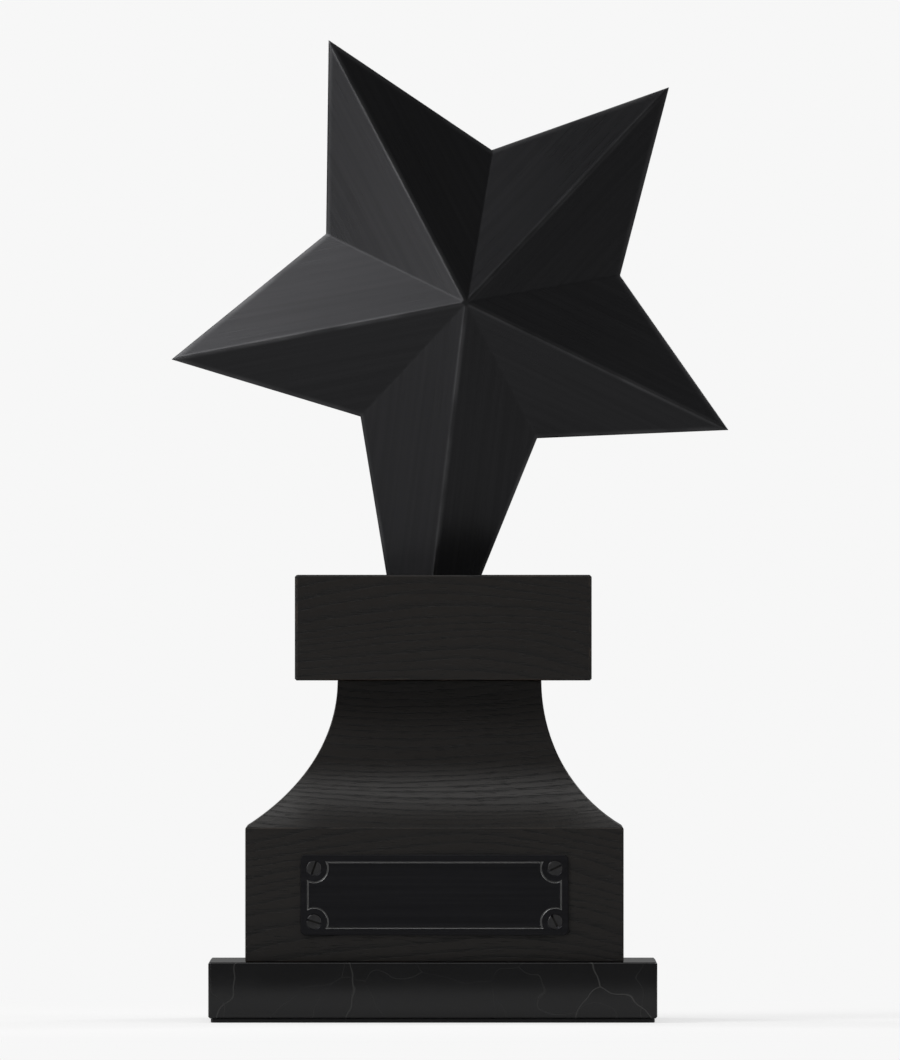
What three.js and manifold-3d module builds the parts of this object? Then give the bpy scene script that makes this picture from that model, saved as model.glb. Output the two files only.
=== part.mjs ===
// A star trophy: a faceted metal star whose long lower arm stands in a stepped square pedestal.
//
// Millimetres. +Z is up, +X is the viewer's right and -Y faces the viewer. The origin is the centre
// of the underside, where the felt rests on a table.
//
// From the table up: felt, stone plinth, a mitred wooden body round a core block, a neck with hollow
// (cavetto) sides, and a cap block. One tie rod runs up through all of them into a coupling nut held
// between the two halves of the star. A nut in a recess under the plinth tightens it.

import * as THREE from "three";
import { mergeVertices } from "three/addons/utils/BufferGeometryUtils.js";
import Module from "manifold-3d";

const wasm = await Module();
wasm.setup();

// ---------------------------------------------------------------- driving dimensions

const GAP = 0.3; // clearance round everything that sits in a hole or a pocket
const PAST = 1; // how far a cutting tool runs on past the face that it opens

// The heights at which the tiers meet.
const PLINTH_BASE = 1.25; // the felt's thickness
const PLINTH_TOP = 18;
const BODY_TOP = 58;
const NECK_TOP = 102;
const CAP_TOP = 133.5;

// Each tier in plan. The tiers are a little off centre, so left and right are given apart.
const PLINTH = { left: -67, right: 67, halfDepth: 67 };
const BODY = { left: -56, right: 57, halfDepth: 56.5 };
const NECK = { left: -28.5, right: 32.5, halfDepth: 30.5 }; // at the top; the foot is as the body
const CAP = { left: -41.25, right: 47.5, halfDepth: 44.375 };
const ARRIS = 0.5; // the plinth's and the cap's edges are eased by this much
const FELT = { inset: 0.75, corner: 2 };
const BOARD = 12; // thickness of the body's boards

// Upper half-axis of the ellipse that each side of the neck follows. Its centre is level with the
// neck's top, so every side starts upright.
const NECK_SWEEP = { left: 59.5, right: 50.5, halfDepth: 55 };
const NECK_STEPS = 26;

// The star. An arm's tip, and the valley that follows it clockwise, each as a distance from the hub
// and a bearing in degrees from +X towards +Z. The lower arm would taper on down to its tip, but is
// sawn off square where it stands in the cap.
const HUB = { x: 10, z: 215 };
const ARMS = [
  { name: "upper_left", tip: [89.1, 117.6], valley: [46.6, 80.5] },
  { name: "upper_right", tip: [88.9, 46.8], valley: [46.9, 10.2] },
  { name: "right", tip: [87.4, -25.8], valley: [45.75, -62.3] },
  { name: "lower", tip: [132.5, -96.8], valley: [46.5, -133] },
  { name: "left", tip: [90, -169.2], valley: [46.9, -206.3] },
];
const STAR_HALF = { rim: 3, peak: 18 }; // thickness from the joint plane at the edge and at the hub
const CAVITY = { share: 0.86, rim: 0.5, peak: 14.5 }; // the hollow in each half, a smaller star
const CAVITY_FLOOR = 153; // the arm is solid below this
const MORTISE_DEPTH = 4; // how far the lower arm sits in the cap

// Fasteners: an M6 tie rod and its nuts, M4 screws that join the star's halves, and plate screws.
const ROD = { radius: 3, bottom: 2.25, top: 145 };
const ROD_BORE = 4;
const NUT_ACROSS_FLATS = 10;
const BASE_NUT_HEIGHT = 5;
const COUPLING = { bottom: 131.5, top: 149.5 };
const RECESS = { radius: 15, top: 11 };
const PENNY_WASHER = { radius: 12, thickness: 1.5 };
const SPRING_WASHER = { radius: 5.5, thickness: 1.5, split: 1 };
const STAR_SCREW = {
  circle: 40, // distance from the hub
  seat: 5, // where the head bears, behind the joint plane
  shank: 2,
  length: 12,
  point: 0.5,
  head: 3.5,
  headHeight: 4,
  headEdge: 0.4,
  key: 3, // across the flats of its hexagon key
  boss: 5.5,
  pilotEnd: 1.5, // how much deeper the pilot hole is than the screw
};
const PLATE = { width: 80, height: 24, thickness: 1, corner: 1.5 };
const PLATE_SCREW = {
  inset: 4, // from the plate's edges
  shank: 1.1,
  length: 8,
  head: 2.2,
  headHeight: 0.75,
  slot: { width: 0.6, depth: 0.5 },
};

// Dowels stop a tier turning on the one below. A pair is named after the upper piece it locates or,
// at the bottom, after the plinth.
const DOWEL = { radius: 3, edge: 0.75 };
const DOWEL_PAIRS = [
  { name: "plinth_dowel", joint: PLINTH_TOP, down: 8, up: 10, left: -30, right: 30 },
  { name: "neck_dowel", joint: BODY_TOP, down: 10, up: 10, left: -22, right: 24 },
  { name: "cap_dowel", joint: NECK_TOP, down: 10, up: 10, left: -18, right: 22 },
];

const SIDES = 28; // of every round piece
const CORNER_SEGMENTS = 6; // in every rounded corner
const QUARTER = Math.PI / 2;

// ---------------------------------------------------------------- materials

const finish = (color, roughness, metalness) =>
  new THREE.MeshStandardMaterial({ color, roughness, metalness });

const MATERIAL = {
  star: finish(0x0b0b0c, 0.3, 0.9),
  wood: finish(0x0c0a09, 0.4, 0),
  core: finish(0x2b2018, 0.8, 0),
  stone: finish(0x0a0a0b, 0.12, 0),
  felt: finish(0x0b0b0b, 0.95, 0),
  plate: finish(0x0d0d0e, 0.35, 0.9),
  steel: finish(0x8d8f92, 0.35, 0.9),
  blackSteel: finish(0x0e0e0f, 0.35, 0.9),
  beech: finish(0xb98f5c, 0.7, 0),
};

// ---------------------------------------------------------------- solids

function solidOf(geometry) {
  const bare = new THREE.BufferGeometry();
  const flat = geometry.index ? geometry.toNonIndexed() : geometry;
  bare.setAttribute("position", flat.getAttribute("position"));
  const merged = mergeVertices(bare);
  return new wasm.Manifold(
    new wasm.Mesh({
      numProp: 3,
      vertProperties: merged.attributes.position.array,
      triVerts: new Uint32Array(merged.index.array),
    }),
  );
}

function geometryOf(solid) {
  const { vertProperties, triVerts } = solid.getMesh();
  const geometry = new THREE.BufferGeometry();
  geometry.setAttribute("position", new THREE.BufferAttribute(vertProperties, 3));
  geometry.setIndex(new THREE.BufferAttribute(triVerts, 1));
  const flat = geometry.toNonIndexed();
  flat.computeVertexNormals();
  return flat;
}

// A geometry with the tool geometries cut out of it.
function cut(geometry, ...tools) {
  return geometryOf(tools.reduce((left, tool) => left.subtract(solidOf(tool)), solidOf(geometry)));
}

// What two geometries have in common.
function common(first, second) {
  return geometryOf(solidOf(first).intersect(solidOf(second)));
}

// ---------------------------------------------------------------- simple shapes

function block(left, right, front, back, bottom, top) {
  const box = new THREE.BoxGeometry(right - left, back - front, top - bottom);
  return box.translate((left + right) / 2, (front + back) / 2, (bottom + top) / 2);
}

// Everything below a height, as a block wider than the trophy.
function allBelow(height) {
  const reach = 2 * PLINTH.halfDepth;
  return block(-reach, reach, -reach, reach, -reach, height);
}

// An upright round bar.
function upright(radius, bottom, top, x = 0) {
  const bar = new THREE.CylinderGeometry(radius, radius, top - bottom, SIDES);
  return bar.rotateX(QUARTER).translate(x, 0, (bottom + top) / 2);
}

// A round bar along Y, between two distances from the joint plane on one side of it.
function crosswise(radius, side, near, far, { x, z }) {
  const bar = new THREE.CylinderGeometry(radius, radius, far - near, SIDES);
  return bar.translate(x, (side * (near + far)) / 2, z);
}

// A shape turned about Y, from pairs of a radius and a place on the axis.
function turned(pairs) {
  const profile = pairs.map(([radius, y]) => new THREE.Vector2(radius, y));
  return new THREE.LatheGeometry(profile, SIDES);
}

function circle(radius) {
  return new THREE.Shape().absarc(0, 0, radius, 0, 4 * QUARTER);
}

// A hexagon with two of its flats facing -Y and +Y.
function hexagon(acrossFlats) {
  const corner = acrossFlats / Math.sqrt(3);
  const angles = [0, 60, 120, 180, 240, 300].map(THREE.MathUtils.degToRad);
  return new THREE.Shape(
    angles.map((angle) => new THREE.Vector2(corner * Math.cos(angle), corner * Math.sin(angle))),
  );
}

function roundedRectangle(left, right, front, back, corner) {
  return new THREE.Shape()
    .absarc(right - corner, front + corner, corner, -QUARTER, 0)
    .absarc(right - corner, back - corner, corner, 0, QUARTER)
    .absarc(left + corner, back - corner, corner, QUARTER, 2 * QUARTER)
    .absarc(left + corner, front + corner, corner, 2 * QUARTER, 3 * QUARTER);
}

function withHole(shape, radius) {
  shape.holes.push(new THREE.Path().absarc(0, 0, radius, 0, 4 * QUARTER));
  return shape;
}

// A plan shape raised from bottom to top.
function raise(shape, bottom, top) {
  const geometry = new THREE.ExtrudeGeometry(shape, {
    depth: top - bottom,
    bevelEnabled: false,
    curveSegments: CORNER_SEGMENTS,
  });
  return geometry.translate(0, 0, bottom);
}

// A block whose edges are all eased.
function easedBlock({ left, right, halfDepth }, bottom, top) {
  const plan = roundedRectangle(
    left + ARRIS,
    right - ARRIS,
    ARRIS - halfDepth,
    halfDepth - ARRIS,
    ARRIS,
  );
  const geometry = new THREE.ExtrudeGeometry(plan, {
    depth: top - bottom - 2 * ARRIS,
    bevelThickness: ARRIS,
    bevelSize: ARRIS,
    bevelSegments: 1,
    curveSegments: 1,
  });
  return geometry.translate(0, 0, bottom + ARRIS);
}

// ---------------------------------------------------------------- the star's shape

function fromHub([distance, degrees]) {
  const angle = THREE.MathUtils.degToRad(degrees);
  return { x: HUB.x + distance * Math.cos(angle), z: HUB.z + distance * Math.sin(angle) };
}

const STAR_OUTLINE = ARMS.flatMap(({ tip, valley }) => [fromHub(tip), fromHub(valley)]);

// One half of a faceted star: a flat back at y = base, a rim, and from every edge of the outline a
// facet up to a peak over the hub. The share shrinks the outline towards the hub. The side is -1
// for the half in front of the joint plane and 1 for the half behind it.
function facetedStar({ share, base, rim, peak }, side) {
  const outline = STAR_OUTLINE.map(({ x, z }) => ({
    x: HUB.x + share * (x - HUB.x),
    z: HUB.z + share * (z - HUB.z),
  }));
  const ringAt = (y) => outline.flatMap(({ x, z }) => [x, side * y, z]);
  const overHub = (y) => [HUB.x, side * y, HUB.z];
  const count = outline.length;
  const baseCentre = 2 * count;
  const peakCentre = baseCentre + 1;
  const faces = outline.flatMap((_, here) => {
    const next = (here + 1) % count;
    return [
      [baseCentre, here, next],
      [here, here + count, next + count],
      [here, next + count, next],
      [peakCentre, next + count, here + count],
    ];
  });
  const positions = [ringAt(base), ringAt(rim), overHub(base), overHub(peak)].flat();
  const geometry = new THREE.BufferGeometry();
  geometry.setAttribute("position", new THREE.Float32BufferAttribute(positions, 3));
  geometry.setIndex(faces.flatMap((face) => (side < 0 ? face : face.toReversed())));
  return geometry;
}

// The lower arm at a height: its left and right edges, and its ridge's place and depth.
function lowerArmAt(z) {
  const arm = ARMS.findIndex(({ name }) => name === "lower");
  const [rightValley, tip, leftValley] = STAR_OUTLINE.slice(2 * arm - 1, 2 * arm + 2);
  const between = (from, to, share) => from + share * (to - from);
  const xBelow = (start) => between(start.x, tip.x, (start.z - z) / (start.z - tip.z));
  return {
    left: xBelow(leftValley),
    right: xBelow(rightValley),
    ridge: xBelow(HUB),
    depth: between(STAR_HALF.peak, STAR_HALF.rim, (HUB.z - z) / (HUB.z - tip.z)),
  };
}

// ---------------------------------------------------------------- the pedestal

function felt() {
  const { inset, corner } = FELT;
  const edge = PLINTH.halfDepth - inset;
  const plan = roundedRectangle(PLINTH.left + inset, PLINTH.right - inset, -edge, edge, corner);
  return raise(plan, 0, PLINTH_BASE);
}

function dowelHoles(joint) {
  const { down, up, left, right } = DOWEL_PAIRS.find((pair) => pair.joint === joint);
  return [left, right].map((x) =>
    upright(DOWEL.radius + GAP, joint - down - GAP, joint + up + GAP, x),
  );
}

function plinth() {
  return cut(
    easedBlock(PLINTH, PLINTH_BASE, PLINTH_TOP),
    upright(RECESS.radius, 0, RECESS.top),
    upright(ROD.radius + GAP, 0, PLINTH_TOP + PAST),
    ...dowelHoles(PLINTH_TOP),
  );
}

// Four boards mitred at the corners, each named after the side that it faces.
function bodyBoards() {
  const cornersAt = (inset) => {
    const [left, right] = [BODY.left + inset, BODY.right - inset];
    const [front, back] = [inset - BODY.halfDepth, BODY.halfDepth - inset];
    return [
      new THREE.Vector2(left, front),
      new THREE.Vector2(right, front),
      new THREE.Vector2(right, back),
      new THREE.Vector2(left, back),
    ];
  };
  const outer = cornersAt(0);
  const inner = cornersAt(BOARD);
  return ["front", "right", "back", "left"].map((side, here) => {
    const next = (here + 1) % outer.length;
    const plan = new THREE.Shape([outer[here], outer[next], inner[next], inner[here]]);
    return { name: `body_${side}`, geometry: raise(plan, PLINTH_TOP, BODY_TOP) };
  });
}

function bodyCore() {
  const [left, right] = [BODY.left + BOARD, BODY.right - BOARD];
  const half = BODY.halfDepth - BOARD;
  return cut(
    block(left, right, -half, half, PLINTH_TOP, BODY_TOP),
    upright(ROD_BORE, PLINTH_TOP - PAST, BODY_TOP + PAST),
    ...dowelHoles(PLINTH_TOP),
    ...dowelHoles(BODY_TOP),
  );
}

// Where one of the neck's sides stands at a height, between its top and its foot.
function neckAt(z, side) {
  const fall = (drop) => 1 - Math.sqrt(1 - (drop / NECK_SWEEP[side]) ** 2);
  const share = fall(NECK_TOP - z) / fall(NECK_TOP - BODY_TOP);
  return NECK[side] + share * (BODY[side] - NECK[side]);
}

// A neck's profile swept along Y, from how far out it stands on either hand at a height.
function neckSweep(leftAt, rightAt) {
  const step = (NECK_TOP - BODY_TOP) / NECK_STEPS;
  const heights = Array.from({ length: NECK_STEPS + 1 }, (_, i) => BODY_TOP + i * step);
  const profile = new THREE.Shape([
    ...heights.map((z) => new THREE.Vector2(rightAt(z), z)),
    ...heights.toReversed().map((z) => new THREE.Vector2(leftAt(z), z)),
  ]);
  const reach = PLINTH.halfDepth;
  return raise(profile, -reach, reach).rotateX(QUARTER);
}

// The neck is what its profile seen from the front and its profile seen from the side both hold.
function neck() {
  const depthAt = (z) => neckAt(z, "halfDepth");
  const across = neckSweep(
    (z) => neckAt(z, "left"),
    (z) => neckAt(z, "right"),
  );
  const deep = neckSweep((z) => -depthAt(z), depthAt).rotateZ(QUARTER);
  return cut(
    common(across, deep),
    upright(ROD_BORE, BODY_TOP - PAST, NECK_TOP + PAST),
    ...dowelHoles(BODY_TOP),
    ...dowelHoles(NECK_TOP),
  );
}

// The cap's mortise has the section of the lower arm, so that the star can't turn on the rod.
function cap() {
  const arm = lowerArmAt(CAP_TOP);
  const [left, right] = [arm.left - GAP, arm.right + GAP];
  const rim = STAR_HALF.rim + GAP;
  const depth = arm.depth + GAP;
  const mortise = new THREE.Shape([
    new THREE.Vector2(left, -rim),
    new THREE.Vector2(arm.ridge, -depth),
    new THREE.Vector2(right, -rim),
    new THREE.Vector2(right, rim),
    new THREE.Vector2(arm.ridge, depth),
    new THREE.Vector2(left, rim),
  ]);
  return cut(
    easedBlock(CAP, NECK_TOP, CAP_TOP),
    raise(mortise, CAP_TOP - MORTISE_DEPTH, CAP_TOP + PAST),
    upright(ROD_BORE, NECK_TOP - PAST, CAP_TOP),
    ...dowelHoles(NECK_TOP),
  );
}

// ---------------------------------------------------------------- the star's halves

const screwPlaces = ARMS.map(({ name, tip: [, bearing] }) => ({
  name,
  ...fromHub([STAR_SCREW.circle, bearing]),
}));

// The hole for one screw through the half on a side: blind in front, counterbored behind.
function screwHole(side, place) {
  const { seat, shank, length, head, pilotEnd } = STAR_SCREW;
  if (side < 0) return [crosswise(shank + GAP, side, -PAST, length - seat + pilotEnd, place)];
  return [
    crosswise(shank + GAP, side, -PAST, seat + PAST, place),
    crosswise(head + GAP, side, seat, STAR_HALF.peak, place),
  ];
}

function starHalf(side) {
  const foot = CAP_TOP - MORTISE_DEPTH;
  const pocket = hexagon(NUT_ACROSS_FLATS + 2 * GAP);
  const bosses = screwPlaces.map((place) =>
    crosswise(STAR_SCREW.boss, side, -2 * PAST, STAR_HALF.peak, place),
  );
  const hollow = cut(
    facetedStar({ ...CAVITY, base: -PAST }, side),
    allBelow(CAVITY_FLOOR),
    ...bosses,
  );
  return cut(
    facetedStar({ ...STAR_HALF, share: 1, base: 0 }, side),
    hollow,
    allBelow(foot),
    raise(pocket, COUPLING.bottom, COUPLING.top + GAP),
    upright(ROD.radius + GAP, foot - PAST, COUPLING.top),
    ...screwPlaces.flatMap((place) => screwHole(side, place)),
  );
}

// ---------------------------------------------------------------- fasteners

// An upright pin with eased ends.
function pin(radius, bottom, top, x = 0) {
  const half = (top - bottom) / 2;
  const { edge } = DOWEL;
  const shape = turned([
    [0, -half],
    [radius - edge, -half],
    [radius, edge - half],
    [radius, half - edge],
    [radius - edge, half],
    [0, half],
  ]);
  return shape.rotateX(QUARTER).translate(x, 0, (bottom + top) / 2);
}

function washer(radius, bottom, top) {
  return raise(withHole(circle(radius), ROD.radius + GAP), bottom, top);
}

function nut(bottom, top) {
  return raise(withHole(hexagon(NUT_ACROSS_FLATS), ROD.radius + GAP), bottom, top);
}

function springWasher(bottom, top) {
  const { radius, split } = SPRING_WASHER;
  const slit = block(-split / 2, split / 2, 0, radius + PAST, bottom - PAST, top + PAST);
  return cut(washer(radius, bottom, top), slit);
}

// A socket screw that lies along Y with its head behind the joint plane.
function starScrew({ x, z }) {
  const { seat, shank, length, point, head, headHeight, headEdge, key } = STAR_SCREW;
  const end = seat - length;
  const top = seat + headHeight;
  const screw = turned([
    [0, end],
    [shank - point, end],
    [shank, end + point],
    [shank, seat],
    [head, seat],
    [head, top - headEdge],
    [head - headEdge, top],
    [0, top],
  ]);
  const socket = raise(hexagon(key), -headHeight / 2, headHeight / 2);
  return cut(screw, socket.rotateX(QUARTER).translate(0, top, 0)).translate(x, 0, z);
}

const plateCentre = { x: (BODY.left + BODY.right) / 2, z: (PLINTH_TOP + BODY_TOP) / 2 };
const plateFront = -BODY.halfDepth - PLATE.thickness;
const plateScrewPlaces = ["upper", "lower"].flatMap((row) =>
  ["left", "right"].map((column) => {
    const across = PLATE.width / 2 - PLATE_SCREW.inset;
    const up = PLATE.height / 2 - PLATE_SCREW.inset;
    return {
      name: `plate_screw_${row}_${column}`,
      x: plateCentre.x + (column === "left" ? -across : across),
      z: plateCentre.z + (row === "lower" ? -up : up),
    };
  }),
);

// A countersunk screw's outline from its face at y = 0 back along +Y, with a gap all round.
function countersunk(gap) {
  const { shank, length, head, headHeight } = PLATE_SCREW;
  return turned([
    [0, -gap],
    [head + 2 * gap, -gap],
    [shank + gap, headHeight],
    [shank + gap, length + gap],
    [0, length + gap],
  ]);
}

function plateScrew({ x, z }) {
  const { head, slot } = PLATE_SCREW;
  const reach = head + PAST;
  const driverSlot = block(-reach, reach, -PAST, slot.depth, -slot.width / 2, slot.width / 2);
  return cut(countersunk(0), driverSlot).translate(x, plateFront, z);
}

const plateScrewHoles = plateScrewPlaces.map(({ x, z }) =>
  countersunk(GAP).translate(x, plateFront, z),
);

function namePlate() {
  const { width, height, thickness, corner } = PLATE;
  const outline = roundedRectangle(-width / 2, width / 2, -height / 2, height / 2, corner);
  const plate = raise(outline, 0, thickness).rotateX(QUARTER);
  return cut(plate.translate(plateCentre.x, -BODY.halfDepth, plateCentre.z), ...plateScrewHoles);
}

// ---------------------------------------------------------------- assembly

const trophy = new THREE.Group();

function add(name, geometry, material) {
  const mesh = new THREE.Mesh(geometry, material);
  mesh.name = name;
  trophy.add(mesh);
}

add("felt_pad", felt(), MATERIAL.felt);
add("plinth", plinth(), MATERIAL.stone);
for (const { name, geometry } of bodyBoards()) {
  const drilled = name === "body_front" ? cut(geometry, ...plateScrewHoles) : geometry;
  add(name, drilled, MATERIAL.wood);
}
add("body_core", bodyCore(), MATERIAL.core);
add("neck_block", neck(), MATERIAL.wood);
add("cap_block", cap(), MATERIAL.wood);
for (const { name, joint, down, up, left, right } of DOWEL_PAIRS) {
  add(`${name}_left`, pin(DOWEL.radius, joint - down, joint + up, left), MATERIAL.beech);
  add(`${name}_right`, pin(DOWEL.radius, joint - down, joint + up, right), MATERIAL.beech);
}

add("name_plate", namePlate(), MATERIAL.plate);
for (const place of plateScrewPlaces) add(place.name, plateScrew(place), MATERIAL.blackSteel);

// In the recess, from its ceiling down: penny washer, spring washer and nut.
const springTop = RECESS.top - PENNY_WASHER.thickness;
const nutTop = springTop - SPRING_WASHER.thickness;
add("penny_washer", washer(PENNY_WASHER.radius, springTop, RECESS.top), MATERIAL.steel);
add("spring_washer", springWasher(nutTop, springTop), MATERIAL.steel);
add("base_nut", nut(nutTop - BASE_NUT_HEIGHT, nutTop), MATERIAL.steel);
add("tie_rod", pin(ROD.radius, ROD.bottom, ROD.top), MATERIAL.steel);
add("coupling_nut", nut(COUPLING.bottom, COUPLING.top), MATERIAL.steel);

add("star_front", starHalf(-1), MATERIAL.star);
add("star_back", starHalf(1), MATERIAL.star);
for (const place of screwPlaces) {
  add(`star_screw_${place.name}`, starScrew(place), MATERIAL.blackSteel);
}

export default trophy;
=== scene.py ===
"""The looks of a star trophy: a black faceted metal star in a stepped pedestal of black stone and wood.

Metres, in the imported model's frame: +X is the viewer's right, -Y faces the viewer and +Z is up.
Places and sizes come from the frame's nodes. The constants here are what the frame doesn't hold,
such as how far an edge is rounded or how coarse a grain is.
"""

import math

import bmesh
import bpy
from mathutils import Matrix, Vector

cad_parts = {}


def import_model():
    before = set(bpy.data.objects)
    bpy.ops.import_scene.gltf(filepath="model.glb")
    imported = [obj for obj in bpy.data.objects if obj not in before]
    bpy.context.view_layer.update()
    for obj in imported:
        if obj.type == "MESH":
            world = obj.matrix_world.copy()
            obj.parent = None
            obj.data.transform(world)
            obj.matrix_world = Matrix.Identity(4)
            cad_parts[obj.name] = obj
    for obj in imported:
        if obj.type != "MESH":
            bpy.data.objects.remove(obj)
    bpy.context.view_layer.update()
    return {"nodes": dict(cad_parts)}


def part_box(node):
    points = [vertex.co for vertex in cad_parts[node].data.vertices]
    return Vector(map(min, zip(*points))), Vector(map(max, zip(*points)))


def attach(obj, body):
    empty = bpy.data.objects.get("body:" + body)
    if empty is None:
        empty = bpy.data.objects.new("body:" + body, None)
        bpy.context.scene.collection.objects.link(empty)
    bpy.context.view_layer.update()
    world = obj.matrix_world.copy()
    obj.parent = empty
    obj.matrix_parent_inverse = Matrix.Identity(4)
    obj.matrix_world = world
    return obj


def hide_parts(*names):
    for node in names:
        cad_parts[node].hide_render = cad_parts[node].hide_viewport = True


MM = 0.001

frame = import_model()
CAD = frame["nodes"]
BODY = "root"


def nodes_named(start):
    return sorted(node for node in CAD if node.startswith(start))


def middle_of(node):
    low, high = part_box(node)
    return (low + high) / 2


# ---------------------------------------------------------------- mesh helpers

SAME = 0.005 * MM  # points closer than this are one point
FLAT = math.radians(0.3)  # faces that turn less than this are one face
SHARP = math.radians(16)  # faces that turn more than this meet at an edge
TURNED = math.radians(32)  # the same for a shape that has rounded edges already
FACING = 0.95  # a face looks along an axis if that part of its normal is over this
ALONGSIDE = 0.05  # and it runs alongside the axis if that part is under this
SECOND = 1  # the place of a piece's second paint


def cad_shape(node):
    """A CAD node's mesh, welded, with each flat stretch merged into one face."""
    shape = bmesh.new()
    shape.from_mesh(CAD[node].data)
    bmesh.ops.remove_doubles(shape, verts=shape.verts, dist=SAME)
    bmesh.ops.dissolve_limit(shape, angle_limit=FLAT, verts=shape.verts, edges=shape.edges)
    return shape


def loft(rings, closed=False):
    """Faces between rings of points. The ends are capped, or joined if the shape closes on itself."""
    shape = bmesh.new()
    loops = [[shape.verts.new(point) for point in ring] for ring in rings]
    pairs = list(zip(loops, loops[1:]))
    if closed:
        pairs.append((loops[-1], loops[0]))
    else:
        shape.faces.new(loops[0])
        shape.faces.new(loops[-1])
    for here, there in pairs:
        for i in range(len(here)):
            shape.faces.new((here[i - 1], here[i], there[i], there[i - 1]))
    bmesh.ops.recalc_face_normals(shape, faces=shape.faces)
    return shape


def turned(profile, place, axis="Z", sides=48, closed=False, radius_at=None, start=0.0):
    """A shape turned about an axis through a place, from pairs of a radius and a height on the axis.

    radius_at(radius, height, angle) may change the radius on the way round. One corner of each
    ring lies at the start angle.
    """
    rings = []
    for radius, height in profile:
        ring = []
        for i in range(sides):
            angle = start + math.tau * i / sides
            out = radius_at(radius, height, angle) if radius_at else radius
            across, up = out * math.cos(angle), out * math.sin(angle)
            point = (across, up, height) if axis == "Z" else (across, height, up)
            ring.append(Vector(point) + Vector(place))
        rings.append(ring)
    return loft(rings, closed)


def corner_arcs(low, high, inset, radius, start, end, steps):
    """Four arcs in order round a rectangle, about centres that lie inset from its corners.

    The angles are those of the lower right corner's arc, and each next arc is turned by a quarter.
    """
    centres = [
        (high[0] - inset, low[1] + inset),
        (high[0] - inset, high[1] - inset),
        (low[0] + inset, high[1] - inset),
        (low[0] + inset, low[1] + inset),
    ]
    points = []
    for quarter, (x, y) in enumerate(centres):
        for step in range(steps + 1):
            angle = quarter * math.pi / 2 + start + (end - start) * step / steps
            points.append((x + radius * math.cos(angle), y + radius * math.sin(angle)))
    return points


def rounded_rectangle(low, high, corner, steps=8):
    return corner_arcs(low, high, corner, corner, -math.pi / 2, 0, steps)


def link(thing):
    bpy.context.scene.collection.objects.link(thing)
    return thing


def as_object(name, shape):
    """An object that holds a shape, which is used up."""
    mesh = bpy.data.meshes.new(name)
    shape.to_mesh(mesh)
    shape.free()
    return link(bpy.data.objects.new(name, mesh))


def baked(thing):
    """The shape of an object with its modifiers applied. The object is used up."""
    bpy.context.view_layer.update()
    evaluated = thing.evaluated_get(bpy.context.evaluated_depsgraph_get())
    shape = bmesh.new()
    shape.from_mesh(evaluated.data)
    bpy.data.objects.remove(thing)
    return shape


def cut_out(shape, *cutters):
    """A shape without the cutters. All of them are used up."""
    body = as_object("being_cut", shape)
    tools = [as_object("cutter", cutter) for cutter in cutters]
    for tool in tools:
        cut = body.modifiers.new("cut", "BOOLEAN")
        cut.operation = "DIFFERENCE"
        cut.solver = "EXACT"
        cut.object = tool
    result = baked(body)
    for tool in tools:
        bpy.data.objects.remove(tool)
    bmesh.ops.remove_doubles(result, verts=result.verts, dist=SAME)
    bmesh.ops.dissolve_limit(result, angle_limit=FLAT, verts=result.verts, edges=result.edges)
    return result


def long_edges(radius, shortest=1.2):
    """Rounds every edge that is at least so long. Both are in millimetres."""
    return lambda edge: radius if edge.calc_length() >= shortest * MM else 0


def rounded(name, shape, rounding=None, segments=3, sharp=SHARP):
    """An object with its edges rounded. The shape is used up.

    rounding(edge) says how far in millimetres a sharp edge is rounded, and may be 0.
    """
    layers = shape.edges.layers.float
    softness = layers.get("bevel_weight_edge") or layers.new("bevel_weight_edge")
    for face in shape.faces:
        face.smooth = True
    for edge in shape.edges:
        turns = len(edge.link_faces) == 2 and edge.calc_face_angle() > sharp
        edge[softness] = rounding(edge) if rounding and turns else 0
        edge.smooth = not turns or edge[softness] > 0
    made = as_object(name, shape)
    if rounding:
        bevel = made.modifiers.new("rounded_edges", "BEVEL")
        bevel.limit_method = "WEIGHT"
        bevel.width = MM
        bevel.segments = segments
        bevel.use_clamp_overlap = False
    return made


def piece(node, shape, paint, rounding=None, second_paint=None, chosen=None, **how):
    """The finished piece that stands for a CAD node.

    A second paint goes on its rounded edges, and on the faces for which chosen(face) is true. The
    rest is passed on to rounded().
    """
    made = rounded(f"{node}_visual", shape, rounding, **how)
    made.data.materials.append(paint)
    if second_paint:
        made.data.materials.append(second_paint)
        if rounding:
            made.modifiers["rounded_edges"].material = SECOND
        for face in made.data.polygons:
            if chosen and chosen(face):
                face.material_index = SECOND
    normals = made.modifiers.new("flat_faces", "WEIGHTED_NORMAL")
    normals.keep_sharp = True
    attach(made, BODY)
    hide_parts(node)
    return made


# ---------------------------------------------------------------- shader helpers


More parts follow.
